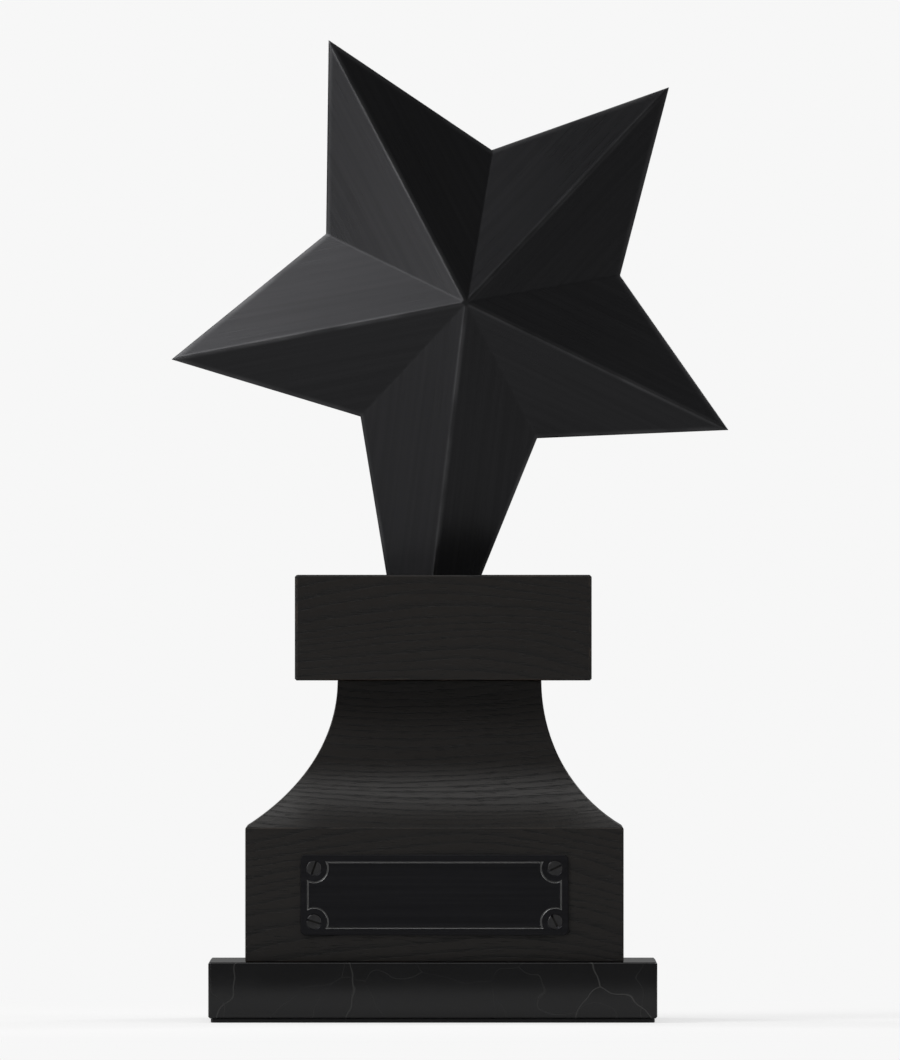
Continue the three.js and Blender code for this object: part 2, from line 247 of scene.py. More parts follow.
class Shader:
    """A material whose nodes are added one call at a time."""

    def __init__(self, name):
        self.material = bpy.data.materials.new(name)
        self.material.use_nodes = True
        self.tree = self.material.node_tree
        self.surface = self.tree.nodes["Principled BSDF"]
        self.output = self.tree.nodes["Material Output"]

    def put(self, socket, value):
        """Sets a socket, or links it: a node stands for its first enabled output."""
        if isinstance(value, bpy.types.Node):
            value = next(out for out in value.outputs if out.enabled)
        if isinstance(value, bpy.types.NodeSocket):
            self.tree.links.new(value, socket)
        elif socket.type == "RGBA" and isinstance(value, (int, float)):
            socket.default_value = (value, value, value, 1)
        elif socket.type == "RGBA":
            socket.default_value = (*value, 1)
        else:
            socket.default_value = value

    def look(self, **sockets):
        """Sets the surface's own sockets, with _ for a space, and returns the material."""
        for name, value in sockets.items():
            self.put(self.surface.inputs[name.replace("_", " ")], value)
        return self.material

    def node(self, kind, inputs=(), **settings):
        """A node with its enabled inputs filled in order."""
        node = self.tree.nodes.new("ShaderNode" + kind)
        for name, value in settings.items():
            setattr(node, name, value)
        for socket, value in zip([s for s in node.inputs if s.enabled], inputs):
            self.put(socket, value)
        return node

    def place(self):
        """The point in the frame, in metres."""
        return self.node("TexCoord").outputs["Object"]

    def vector(self, operation, *values):
        return self.node("VectorMath", values, operation=operation)

    def length(self, vector):
        return self.vector("LENGTH", vector).outputs["Value"]

    def maths(self, operation, *values):
        return self.node("Math", values, operation=operation)

    def total(self, first, *rest):
        """The sum of values and of (value, share) pairs."""
        for term in rest:
            value, share = term if isinstance(term, tuple) else (term, 1)
            first = self.maths("MULTIPLY_ADD", value, share, first)
        return first

    def smooth(self, value, low, high, start=0.0, end=1.0):
        """Runs smoothly from start to end as the value goes from low to high."""
        values = (value, low, high, start, end)
        return self.node("MapRange", values, interpolation_type="SMOOTHSTEP")

    def mix(self, share, first, second):
        """A colour part of the way from the first to the second."""
        return self.node("Mix", (share, first, second), data_type="RGBA")

    def texture(self, kind, vector, size, inputs=(), **settings):
        """A texture whose pattern has this size, or these sizes along X, Y and Z."""
        made = self.node(kind, (), **settings)
        scaled = self.vector("MULTIPLY", vector, per(size))
        for name, value in (("Vector", scaled), ("Scale", 1), *inputs):
            self.put(made.inputs[name], value)
        return made

    def noise(self, vector, size, detail=2.0, distortion=0.0, output=0):
        """Fractal noise from 0 to 1. Its Color output holds three noises."""
        inputs = (("Detail", detail), ("Distortion", distortion))
        return self.texture("TexNoise", vector, size, inputs).outputs[output]

    def cells(self, vector, size, feature="F1"):
        """How far, in cells, a point is from what the feature names: F1 is its cell's middle."""
        return self.texture("TexVoronoi", vector, size, feature=feature).outputs["Distance"]

    def cracks(self, vector, size, width):
        """1 along the borders between cells of this size, and 0 past this width from them."""
        return self.smooth(self.cells(vector, size, "DISTANCE_TO_EDGE"), width / size, 0)

    def bump(self, height, distance):
        """A bump whose height of 1 stands the given distance proud."""
        made = self.node("Bump")
        self.put(made.inputs["Height"], height)
        self.put(made.inputs["Distance"], distance)
        return made

    def split(self, vector):
        return self.node("SeparateXYZ", (vector,)).outputs

    def join(self, x, y, z):
        return self.node("CombineXYZ", (x, y, z))


def per(size):
    """The scale that makes this size, or these sizes along X, Y and Z, one unit."""
    return tuple(1 / s for s in size) if isinstance(size, tuple) else (1 / size,) * 3


# ---------------------------------------------------------------- camera, floor and light

# The camera stands far off with a long lens, so that level edges stay level as in a flat drawing.
CAMERA_DISTANCE = 12
FRAME_HEIGHT = 0.318  # from the picture's foot to its top
SENSOR = 0.036
BACKDROP = 0.93  # the radiance of the pale ground
STUDIO = 0.16  # and of the dimmer room that everything but the camera sees
FLOOR_RADIUS = 4
FLOOR_TONE = 0.58
FLOOR_GLOW = 0.45  # added for the camera alone, so that the floor is as pale as the backdrop
FLOOR_FADE = (0.14, 0.5)  # from real floor to even ground, out from the centre
FLOOR_EVEN = 0.3  # the share of even ground within that
FLOOR_DROP = 0.1 * MM  # keeps the floor clear of the felt
LIGHT_AIM = Vector((0, 0, 0.15))


def camera():
    """Square on to the front, with the trophy in the middle: the star is its widest, highest piece."""
    low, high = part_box("star_front")
    data = bpy.data.cameras.new("camera")
    data.sensor_width = SENSOR / MM
    data.lens = SENSOR / MM * CAMERA_DISTANCE / FRAME_HEIGHT
    data.clip_end = 4 * CAMERA_DISTANCE
    eye = link(bpy.data.objects.new("camera", data))
    eye.location = ((low.x + high.x) / 2, -CAMERA_DISTANCE, high.z / 2)
    eye.rotation_euler = (math.pi / 2, 0, 0)
    bpy.context.scene.camera = eye


def floor():
    """A pale disc that turns into the even ground a short way out from the trophy."""
    shape = bmesh.new()
    bmesh.ops.create_circle(shape, cap_ends=True, segments=96, radius=FLOOR_RADIUS)
    ground = as_object("floor", shape)
    ground.location.z = -FLOOR_DROP
    paint = Shader("floor_paper")
    point = paint.place()
    fibre = paint.noise(point, 0.8 * MM, detail=3)
    tone = paint.mix(fibre, FLOOR_TONE * 0.98, FLOOR_TONE * 1.02)
    seen = paint.node("LightPath").outputs["Is Camera Ray"]
    glow = paint.node("Emission", (1, paint.maths("MULTIPLY", seen, FLOOR_GLOW)))
    paper = paint.node("AddShader", (paint.node("BsdfDiffuse", (tone,)), glow))
    even = paint.node("Emission", (BACKDROP,))
    faded = paint.smooth(paint.length(point), *FLOOR_FADE, FLOOR_EVEN, 1)
    both = paint.node("MixShader", (paint.maths("MULTIPLY", seen, faded), paper, even))
    paint.put(paint.output.inputs["Surface"], both)
    ground.data.materials.append(paint.material)


def world():
    """An even pale ground for the camera, and a dimmer studio for all that light bounces off."""
    sky = bpy.data.worlds.new("studio")
    bpy.context.scene.world = sky
    sky.use_nodes = True
    tree = sky.node_tree
    studio = tree.nodes["Background"]
    studio.inputs["Color"].default_value = (1, 1, 1, 1)
    studio.inputs["Strength"].default_value = STUDIO
    ground = tree.nodes.new("ShaderNodeBackground")
    ground.inputs["Color"].default_value = (BACKDROP, BACKDROP, BACKDROP, 1)
    path = tree.nodes.new("ShaderNodeLightPath")
    both = tree.nodes.new("ShaderNodeMixShader")
    tree.links.new(path.outputs["Is Camera Ray"], both.inputs[0])
    tree.links.new(studio.outputs[0], both.inputs[1])
    tree.links.new(ground.outputs[0], both.inputs[2])
    tree.links.new(both.outputs[0], tree.nodes["World Output"].inputs["Surface"])


def softbox(name, place, size, power):
    """A lamp turned towards the trophy's middle, which the camera doesn't see."""
    data = bpy.data.lights.new(name, "AREA")
    data.shape = "RECTANGLE"
    data.size, data.size_y = size
    data.energy = power
    lamp = link(bpy.data.objects.new(name, data))
    lamp.location = place
    lamp.rotation_euler = (LIGHT_AIM - Vector(place)).to_track_quat("-Z", "Y").to_euler()
    lamp.visible_camera = False


def lights():
    """Each softbox has its place and size in metres, and its power in watts."""
    softbox("key", (-1.1, -1.1, 1.3), (0.9, 0.9), 13)
    softbox("fill", (1.4, -0.9, 0.9), (0.5, 1.2), 4)
    softbox("rim_left", (-1.2, 1.0, 0.9), (0.4, 1.2), 8)
    softbox("rim_right", (1.1, 1.2, 1.0), (0.4, 1.2), 8)
    softbox("top", (0, 0, 1.8), (1.2, 1.2), 8)
    softbox("front_left", (-0.5, -0.75, 0.32), (0.12, 0.5), 0.8)


# ---------------------------------------------------------------- the star's layout


def star_layout():
    """The hub's place, and the bearings of the arms and of the valleys from +X towards +Z."""
    shape = cad_shape("star_front")
    hub = min(shape.verts, key=lambda vertex: vertex.co.y)
    lines = [edge.other_vert(hub).co - hub.co for edge in hub.link_edges]
    lengths = sorted(line.length for line in lines)
    middle = (lengths[0] + lengths[-1]) / 2
    arms = sorted(math.atan2(line.z, line.x) for line in lines if line.length > middle)
    valleys = sorted(math.atan2(line.z, line.x) for line in lines if line.length < middle)
    place = hub.co.copy()
    shape.free()
    return place, arms, valleys


HUB, ARMS, VALLEYS = star_layout()
HUB_AXIS = (HUB.x, 0, HUB.z)
STAR_RIM = 3 * MM  # each half's thickness at its rim


# ---------------------------------------------------------------- paints


def arm_bearing(paint, point):
    """The bearing of the arm that a point lies on. It changes at each valley."""
    x, _, z = paint.split(paint.vector("SUBTRACT", point, HUB))
    turn = paint.maths("ARCTAN2", z, x)
    bearing = ARMS[0]
    for valley, before, after in zip(VALLEYS, ARMS, [*ARMS[1:], ARMS[0] + math.tau]):
        past = paint.maths("GREATER_THAN", turn, valley)
        bearing = paint.total(bearing, (past, after - before))
    return bearing


def star_metal():
    """Black nickel over a casting that was brushed along each arm, and paler along its edges, the
    ridges and the rim: partly rubbed wear, partly a painted highlight.

    Each arm is turned to lie along X, so that one brushing serves all of them.
    """
    paint = Shader("black_nickel")
    point = paint.place()
    turning = (point, HUB, arm_bearing(paint, point))
    along = paint.node("VectorRotate", turning, rotation_type="Y_AXIS")
    fine = paint.noise(along, (45 * MM, 8 * MM, 0.13 * MM), detail=2)
    broad = paint.noise(along, (90 * MM, 30 * MM, 1.1 * MM), detail=3)
    cloud = paint.noise(point, 28 * MM, detail=3)
    colour = paint.mix(broad, (0.020, 0.020, 0.0215), (0.031, 0.031, 0.033))
    _, depth, across = paint.split(paint.vector("SUBTRACT", along, HUB_AXIS))
    # A paler band along each ridge and round the rim, patchy where rubbed: partly rubbed wear, partly a
    # painted highlight.
    ridge = paint.smooth(paint.maths("ABSOLUTE", across), 1.1 * MM, 0.1 * MM)
    past_rim = paint.maths("SUBTRACT", paint.maths("ABSOLUTE", depth), STAR_RIM)
    rim = paint.smooth(paint.maths("ABSOLUTE", past_rim), 0.6 * MM, 0.05 * MM)
    rubbed = paint.smooth(paint.noise(point, 16 * MM, detail=2), 0.3, 0.7, 0.25, 1)
    share = paint.maths("MULTIPLY", paint.maths("MAXIMUM", ridge, rim), rubbed)
    colour = paint.mix(share, colour, (0.075, 0.075, 0.078))
    brushed = paint.smooth(past_rim, -0.3 * MM, 0.1 * MM, 0.1, 1)
    height = paint.total(paint.maths("MULTIPLY", fine, 0.6), (broad, 0.4))
    return paint.look(
        Base_Color=colour,
        Metallic=1.0,
        Roughness=paint.total(0.2, (fine, 0.12), (cloud, 0.08)),
        Coat_Weight=0.2,
        Coat_Roughness=0.2,
        Normal=paint.bump(paint.maths("MULTIPLY", height, brushed), 0.014 * MM),
    )


RING = 2.4 * MM  # from one growth ring to the next
RING_ARCH = 2.0  # times the square of the distance from the middle: how far a ring curves away
SEED_STEP = Vector((0.37, 0.21, 0.13))  # moves each piece's wood this far from the last one's


def ebonised_wood(name, along, seed, pith, worn=False):
    """Black-stained open-grained wood under a satin lacquer, its grain running along X or Y.

    The pith is a line along the grain, given by its place across the grain and its height. The
    growth rings lie round it, lean and ripple, and curve away from it towards the ends. Their
    early wood soaks up the most stain and holds the most pores.
    """
    paint = Shader(name)
    x, y, z = paint.split(paint.place())
    grain = paint.join(x, y, z) if along == "X" else paint.join(y, x, z)
    length, *_ = paint.split(grain)
    drawn = paint.vector("ADD", grain, seed * SEED_STEP)
    lean = paint.noise(drawn, (120 * MM, 30 * MM, 30 * MM), detail=1)
    ripple = paint.noise(drawn, (22 * MM, 5 * MM, 5 * MM), detail=1)
    across = paint.vector("MULTIPLY", paint.vector("SUBTRACT", grain, (0, *pith)), (0, 1, 1))
    curved = paint.maths("MULTIPLY", length, length)
    away = paint.total(paint.length(across), (curved, RING_ARCH), (lean, 16 * MM), (ripple, 0.8 * MM))
    years = paint.noise(paint.join(away, 0, 0), 9 * MM, detail=1)
    uneven = paint.total(away, (years, 5 * MM))
    ring = paint.maths("FRACT", paint.maths("MULTIPLY", uneven, 1 / RING))
    early = paint.smooth(ring, 0.6, 0.0)
    speck = paint.noise(drawn, (5 * MM, 0.24 * MM, 0.24 * MM), detail=1)
    pore = paint.smooth(paint.total(speck, (early, 0.14)), 0.66, 0.72)
    fibre = paint.noise(drawn, (25 * MM, 0.12 * MM, 0.12 * MM), detail=2)
    cloud = paint.noise(drawn, (70 * MM, 30 * MM, 30 * MM), detail=2)
    late = paint.mix(cloud, (0.0085, 0.0073, 0.0065), (0.0150, 0.0126, 0.0108))
    stained = paint.mix(paint.maths("MULTIPLY", early, 0.8), late, (0.0030, 0.0026, 0.0024))
    colour = paint.mix(pore, stained, (0.0008, 0.0008, 0.0008))
    if worn:
        patches = paint.noise(drawn, (14 * MM, 4 * MM, 4 * MM), detail=4)
        rubbed = paint.smooth(patches, 0.45, 0.62)
        colour = paint.mix(paint.maths("MULTIPLY", rubbed, 0.6), colour, (0.034, 0.024, 0.017))
    height = paint.total(paint.maths("MULTIPLY", fibre, 0.12), (pore, -0.8), (early, -0.2))
    return paint.look(
        Base_Color=colour,
        Roughness=paint.total(0.34, (early, 0.1), (pore, 0.2)),
        Specular_IOR_Level=0.35,
        Coat_Weight=0.1,
        Coat_Roughness=0.25,
        Normal=paint.bump(height, 0.06 * MM),
    )


def black_marble():
    """Polished black stone with a few thin grey veins and a faint clouding."""
    paint = Shader("black_marble")
    point = paint.place()
    sway = 22 * MM
    shift = paint.vector("SCALE", paint.noise(point, sway, output="Color"), sway)
    bent = paint.vector("ADD", point, shift)
    patch = paint.noise(point, 55 * MM, detail=1)
    cloud = paint.noise(bent, 16 * MM, detail=4)
    broad = paint.maths("MULTIPLY", paint.cracks(bent, 75 * MM, 0.35 * MM), patch)
    hair = paint.maths("MULTIPLY", paint.cracks(bent, 30 * MM, 0.14 * MM), cloud)
    veins = paint.maths("MAXIMUM", broad, paint.maths("MULTIPLY", hair, 0.35))
    ground = paint.mix(cloud, (0.0030, 0.0030, 0.0033), (0.0065, 0.0065, 0.0071))
    return paint.look(
        Base_Color=paint.mix(paint.maths("MULTIPLY", veins, 0.55), ground, (0.13, 0.13, 0.125)),
        Roughness=paint.total(0.08, (cloud, 0.05), (veins, 0.1)),
        Normal=paint.bump(paint.maths("MULTIPLY", veins, -1), 0.008 * MM),
    )


def brushed_plate(name, bare=False):
    """Aluminium brushed along X and anodised black. The engraved line is bare metal."""
    paint = Shader(name)
    point = paint.place()
    fine = paint.noise(point, (30 * MM, 0.1 * MM, 0.1 * MM), detail=2)
    broad = paint.noise(point, (60 * MM, 1 * MM, 1 * MM), detail=2)
    cloud = paint.noise(point, 9 * MM, detail=3)
    if bare:
        dark, light = (0.16, 0.16, 0.16), (0.26, 0.26, 0.26)
    else:
        dark, light = (0.018, 0.018, 0.02), (0.034, 0.034, 0.037)
    return paint.look(
        Base_Color=paint.mix(broad, dark, light),
        Metallic=1.0,
        Roughness=paint.total(0.26, (fine, 0.16), (cloud, 0.05)),
        Normal=paint.bump(fine, 0.01 * MM),
    )


def black_oxide():
    """Blackened steel, a little uneven and oily."""
    paint = Shader("black_oxide_steel")
    point = paint.place()
    cloud = paint.noise(point, 1.6 * MM, detail=4)
    grit = paint.noise(point, 0.12 * MM, detail=2)
    return paint.look(
        Base_Color=paint.mix(cloud, (0.045, 0.045, 0.047), (0.085, 0.084, 0.085)),
        Metallic=1.0,
        Roughness=paint.total(0.24, (cloud, 0.14), (grit, 0.06)),
        Normal=paint.bump(grit, 0.006 * MM),
    )


def slot_painted_shade():
    """Dull dark paint in a screw's slot: painted shade, standing in for the shadow that falls into the
    slot.
    """
    paint = Shader("slot_painted_shade")
    mottle = paint.noise(paint.place(), 0.25 * MM, detail=3)
    return paint.look(
        Base_Color=paint.mix(mottle, (0.004, 0.0035, 0.003), (0.016, 0.014, 0.012)),
        Roughness=paint.total(0.7, (mottle, 0.2)),
        Normal=paint.bump(mottle, 0.03 * MM),
    )


def zinc_steel():
    """Bright zinc plate with its fine crystals, and a bluish cast."""
    paint = Shader("zinc_steel")
    point = paint.place()
    crystal = paint.maths("FRACT", paint.maths("MULTIPLY", paint.cells(point, 0.7 * MM), 3))
    cloud = paint.noise(point, 5 * MM, detail=3)
    return paint.look(
        Base_Color=paint.mix(cloud, (0.46, 0.48, 0.52), (0.62, 0.62, 0.60)),
        Metallic=1.0,
        Roughness=paint.total(0.2, (crystal, 0.08), (cloud, 0.14)),
        Normal=paint.bump(crystal, 0.004 * MM),
    )


def beech():
    """Pale pink-brown beech, its short dark rays running up each dowel."""
    paint = Shader("beech")
    point = paint.place()
    ray = paint.noise(point, (0.25 * MM, 0.25 * MM, 2.2 * MM), detail=1)
    band = paint.noise(point, (1.6 * MM, 1.6 * MM, 40 * MM), detail=2)
    fleck = paint.smooth(ray, 0.6, 0.68)
    pale = paint.mix(band, (0.52, 0.34, 0.19), (0.62, 0.43, 0.26))
    return paint.look(
        Base_Color=paint.mix(fleck, pale, (0.25, 0.13, 0.065)),
        Roughness=paint.total(0.55, (fleck, 0.15), (band, 0.1)),
        Normal=paint.bump(paint.maths("MULTIPLY", fleck, -1), 0.02 * MM),
    )


def softwood():
    """Unfinished pine, its growth rings running along X round a pith below its front half."""
    paint = Shader("softwood")
    point = paint.place()
    pith = (0, -30 * MM, -20 * MM)
    ring = 3.5 * MM
    lean = paint.noise(point, (90 * MM, 25 * MM, 25 * MM), detail=2)
    across = paint.vector("MULTIPLY", paint.vector("SUBTRACT", point, pith), (0, 1, 1))
    away = paint.total(paint.length(across), (lean, 12 * MM))
    late = paint.smooth(paint.maths("FRACT", paint.maths("MULTIPLY", away, 1 / ring)), 0.4, 1)
    fibre = paint.noise(point, (20 * MM, 0.2 * MM, 0.2 * MM), detail=2)
    pale = paint.mix(fibre, (0.55, 0.38, 0.21), (0.64, 0.47, 0.28))
    return paint.look(
        Base_Color=paint.mix(late, pale, (0.34, 0.17, 0.07)),
        Roughness=paint.total(0.6, (fibre, 0.2)),
        Normal=paint.bump(paint.total(fibre, (late, 0.6)), 0.04 * MM),
    )


def black_felt():
    """Matted wool with short fibres lying all ways."""
    paint = Shader("black_felt")
    point = paint.place()
    coarse = paint.noise(point, 0.9 * MM, detail=4, distortion=1.5)
    fuzz = paint.noise(point, 0.16 * MM, detail=2, distortion=2.0)
    mat = paint.total(paint.maths("MULTIPLY", coarse, 0.6), (fuzz, 0.4))
    return paint.look(
        Base_Color=paint.mix(mat, (0.003, 0.003, 0.0035), (0.012, 0.012, 0.013)),
        Roughness=0.95,
        Specular_IOR_Level=0.15,
        Sheen_Weight=0.25,
        Sheen_Roughness=0.6,
        Normal=paint.bump(mat, 0.12 * MM),
    )


# ---------------------------------------------------------------- the pedestal

WOOD_EDGE = 0.3  # how far each edge is rounded, in millimetres
INNER_EDGE = 0.2  # the same for a block whose outer edges the CAD has eased already
EASED = math.radians(60)  # an eased edge turns less than this, and is shaded as if it were round
PITH_DROP = 25 * MM  # from a board's foot down to the pith of its tree
PITH_LEAN = 0.3  # how far out the pith lies, as a share of the board's own distance from the middle


def felt():
    """A flat sheet with rounded edges and corners."""
    low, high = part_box("felt_pad")
    edge = 0.3 * MM
    corner = 2 * MM
    steps = 4
    lower = []
    for step in range(steps + 1):
        angle = math.pi / 2 * step / steps
        lower.append((edge * (1 - math.sin(angle)), low.z + edge * (1 - math.cos(angle))))
    upper = [(inset, low.z + high.z - z) for inset, z in reversed(lower)]
    rings = []
    for inset, z in lower + upper:
        outline = rounded_rectangle(
            (low.x + inset, low.y + inset),
            (high.x - inset, high.y - inset),
            corner - inset,
        )
        rings.append([Vector((x, y, z)) for x, y in outline])
    sheet = piece("felt_pad", loft(rings), black_felt())


def plinth():
    piece("plinth", cad_shape("plinth"), black_marble(), long_edges(INNER_EDGE), sharp=EASED)


def wooden(node, along, seed, pith, rounding, **how):
    """A piece of black wood with worn edges."""
    paint = ebonised_wood(f"{node}_wood", along, seed, pith)
    edges = ebonised_wood(f"{node}_worn_wood", along, seed, pith, worn=True)
    piece(node, cad_shape(node), paint, rounding, edges, **how)


def board(node, seed):
    """One of the body's boards. The joints show as fine grooves where their rounded edges meet."""
    low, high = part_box(node)
    middle = middle_of(node)
    along, out = ("X", middle.y) if high.x - low.x > high.y - low.y else ("Y", middle.x)
    pith = (PITH_LEAN * out, low.z - PITH_DROP)
    wooden(node, along, seed, pith, long_edges(WOOD_EDGE, shortest=5))


def body():
    """Four boards round a core."""
    for seed, node in enumerate(nodes_named("body_"), start=1):
        if node == "body_core":
            piece(node, cad_shape(node), softwood(), long_edges(WOOD_EDGE))
        else:
            board(node, seed)


def slanted(face):
    """True if a face looks along none of the axes, as an eased edge does."""
    return max(abs(part) for part in face.normal) < FACING


def neck_and_cap():
    """The neck's pith is above it and the cap's is below it."""
    wooden("neck_block", "X", 6, (6 * MM, 190 * MM), long_edges(WOOD_EDGE))
    pith = (-15 * MM, 60 * MM)
    wooden("cap_block", "X", 7, pith, long_edges(INNER_EDGE), chosen=slanted, sharp=EASED)


# ---------------------------------------------------------------- the name plate

PLATE_CORNER = 1.5 * MM
PLATE_EDGE = 0.25 * MM
PLATE_EDGE_STEPS = 3
PLATE_STEPS = 20  # in each corner
GROOVE_INSET = 2.2 * MM
GROOVE_WIDTH = 0.5 * MM
GROOVE_DEPTH = 0.2 * MM
SCALLOP = 4.2 * MM  # radius of the engraved line round each screw
SCREW_INSET = 4 * MM  # from the plate's sides to the middle of each screw
SCREW_HEAD, SCREW_SHANK = 2.2 * MM, 1.1 * MM  # radii
SCREW_SINK = 0.75 * MM  # depth of the countersunk head
SCREW_GAP = 0.2 * MM
SLOT_WIDTH, SLOT_DEPTH = 0.6 * MM, 0.5 * MM


def groove_ring(low, high, offset):
    """The engraved line, moved towards the plate's middle by an offset."""
    inset = GROOVE_INSET + offset
    radius = SCALLOP + offset
    lean = math.asin((SCREW_INSET - inset) / radius)
    start, end = math.pi + lean, math.pi / 2 - lean
    return corner_arcs(low, high, SCREW_INSET, radius, start, end, PLATE_STEPS)


def plate_outlines(low, high):
    """The plate's outline at each depth: its back, its rounded edge, and the engraved groove."""
    corners = ((low.x, low.z), (high.x, high.z))
    outlines = [(rounded_rectangle(*corners, PLATE_CORNER, PLATE_STEPS), high.y)]
    for step in range(PLATE_EDGE_STEPS + 1):
        angle = math.pi / 2 * step / PLATE_EDGE_STEPS
        inset = PLATE_EDGE * (1 - math.cos(angle))
        outline = rounded_rectangle(
            (low.x + inset, low.z + inset),
            (high.x - inset, high.z - inset),
            PLATE_CORNER - inset,
            PLATE_STEPS,
        )
        outlines.append((outline, low.y + PLATE_EDGE * (1 - math.sin(angle))))
    for offset, depth in ((-0.5, 0), (0, GROOVE_DEPTH), (0.5, 0)):
        outlines.append((groove_ring(*corners, offset * GROOVE_WIDTH), low.y + depth))
    return outlines


def plate_holes(front):
    """The countersunk holes, which reach past the plate on both sides."""
    slope = (SCREW_HEAD - SCREW_SHANK) / SCREW_SINK
    profile = [
        (SCREW_HEAD + SCREW_GAP + slope * MM, -MM),
        (SCREW_SHANK + SCREW_GAP, SCREW_SINK),
        (SCREW_SHANK + SCREW_GAP, 2 * MM),
    ]
    middles = [middle_of(node) for node in nodes_named("plate_screw")]
    return [turned(profile, (middle.x, front, middle.z), "Y") for middle in middles]


def name_plate():
    """A blank plate whose engraved line shows bare metal."""
    low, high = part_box("name_plate")
    rings = [[Vector((x, y, z)) for x, z in outline] for outline, y in plate_outlines(low, high)]

    def engraved(face):
        x, y, z = face.center
        from_side = min(x - low.x, high.x - x, z - low.z, high.z - z)
        inside = from_side > GROOVE_INSET - GROOVE_WIDTH and low.y < y < low.y + GROOVE_DEPTH
        return inside and ALONGSIDE < abs(face.normal.y) < FACING

    plate = cut_out(loft(rings), *plate_holes(low.y))
    black = brushed_plate("black_anodised")
    bare = brushed_plate("bare_aluminium", bare=True)
    piece("name_plate", plate, black, second_paint=bare, chosen=engraved)


def plate_slot(place, angle):
    """The cutter for a slot across a screw's head."""
    slot = bmesh.new()
    bmesh.ops.create_cube(slot, size=1)
    size = Vector((3 * SCREW_HEAD, 2 * SLOT_DEPTH, SLOT_WIDTH))
    bmesh.ops.scale(slot, vec=size, verts=slot.verts)
    bmesh.ops.rotate(slot, matrix=Matrix.Rotation(angle, 3, "Y"), verts=slot.verts)
    bmesh.ops.translate(slot, vec=place, verts=slot.verts)
    return slot


def plate_screw(node, angle, paint, slot_shade):
    """A slotted countersunk screw, with painted shade in its slot."""
    low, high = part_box(node)
    middle = middle_of(node)
    place = (middle.x, low.y, middle.z)
    length = high.y - low.y
    edge = 0.08 * MM
    profile = [
        (SCREW_HEAD - 2 * edge, 0),
        (SCREW_HEAD - edge, 0.3 * edge),
        (SCREW_HEAD, edge),
        (SCREW_SHANK, SCREW_SINK),
        (SCREW_SHANK, length - SCREW_SHANK),
        (0.2 * SCREW_SHANK, length),
    ]

    # The slot's floor and walls, which take the painted shade.
    def in_slot(face):
        sunk = low.y + edge < face.center.y < low.y + SLOT_DEPTH + SAME
        return sunk and (face.normal.y < -FACING or abs(face.normal.y) < ALONGSIDE)

    screw = cut_out(turned(profile, place, "Y"), plate_slot(place, angle))
    piece(node, screw, paint, second_paint=slot_shade, chosen=in_slot)


def plate_screws():
    """The screws were driven home to different angles, in radians."""
    paint = black_oxide()
    # Painted shade for the screws' slots.
    slot_shade = slot_painted_shade()
    first, step = 0.3, 0.8
    for i, node in enumerate(nodes_named("plate_screw")):
        plate_screw(node, first + step * i, paint, slot_shade)


# ---------------------------------------------------------------- the star

RIDGE_EDGE, RIM_EDGE, FINE_EDGE = 0.5, 0.35, 0.2  # in millimetres
OUTWARD = 0.5  # the star's facets have more of their normal along Y than this
HEAD_HEIGHT = 4 * MM
HEAD_GAP = 0.32 * MM  # between a screw's head and its counterbore
PAST_SEATS = 8 * MM  # the counterbores' seats are nearer than this, and their rims further back
SOCKET = 3 * MM / math.sqrt(3)  # from the middle to a corner of the hexagon
SOCKET_DEPTH = 2 * MM
KNURL_TEETH = 36
KNURL_DEPTH = 0.08 * MM


def facets_of(shape, side):
    """The outer facets of half of the star: the faces in planes through its peak.

    The side is -1 for the front half and 1 for the back half.
    """
    peak = Vector((HUB.x, side * abs(HUB.y), HUB.z))
    near = 0.05 * MM
    outward = [face for face in shape.faces if side * face.normal.y > OUTWARD]
    return {face for face in outward if abs((peak - face.verts[0].co).dot(face.normal)) < near}


def counterbores():
    """The place, radius and seat of each screw's head in the back half."""
    places = []
    for screw in nodes_named("star_screw"):
        low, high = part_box(screw)
        radius = (high.x - low.x) / 2 + HEAD_GAP
        places.append(((low + high) / 2, radius, high.y - HEAD_HEIGHT))
    return places


def fill_counterbores(shape):
    """Runs each facet on over the CAD's plain counterbores, and closes the holes below them."""
    near = 0.1 * MM
    for middle, radius, seat in counterbores():
        wall = []
        for vertex in shape.verts:
            away = math.hypot(vertex.co.x - middle.x, vertex.co.z - middle.z)
            if abs(away - radius) < near and vertex.co.y > seat - SAME:
                wall.append(vertex)
        facets = facets_of(shape, 1)
        touching = dict.fromkeys(face for vertex in wall for face in vertex.link_faces)
        for facet in [face for face in touching if face in facets]:
            corners = [vertex for vertex in facet.verts if vertex not in wall]
            if len(corners) > 2:
                shape.faces.new(corners)
        bmesh.ops.delete(shape, geom=wall, context="VERTS")
    open_edges = [edge for edge in shape.edges if edge.is_boundary]
    for cap in bmesh.ops.holes_fill(shape, edges=open_edges)["faces"]:
        cap.normal_update()
        if cap.normal.y > 0:
            cap.normal_flip()
    shape.normal_update()
    return shape


def sink_counterbores(shape):
    """Cuts the counterbores again, with two corners of each on the ridge that it sinks into."""
    reach = 20 * MM  # from a seat to past the star's back
    cutters = []
    for middle, radius, seat in counterbores():
        profile = [(radius, seat), (radius, seat + reach)]
        ridge = math.atan2(middle.z - HUB.z, middle.x - HUB.x)
        cutters.append(turned(profile, (middle.x, 0, middle.z), "Y", sides=64, start=ridge))
    return cut_out(shape, *cutters)


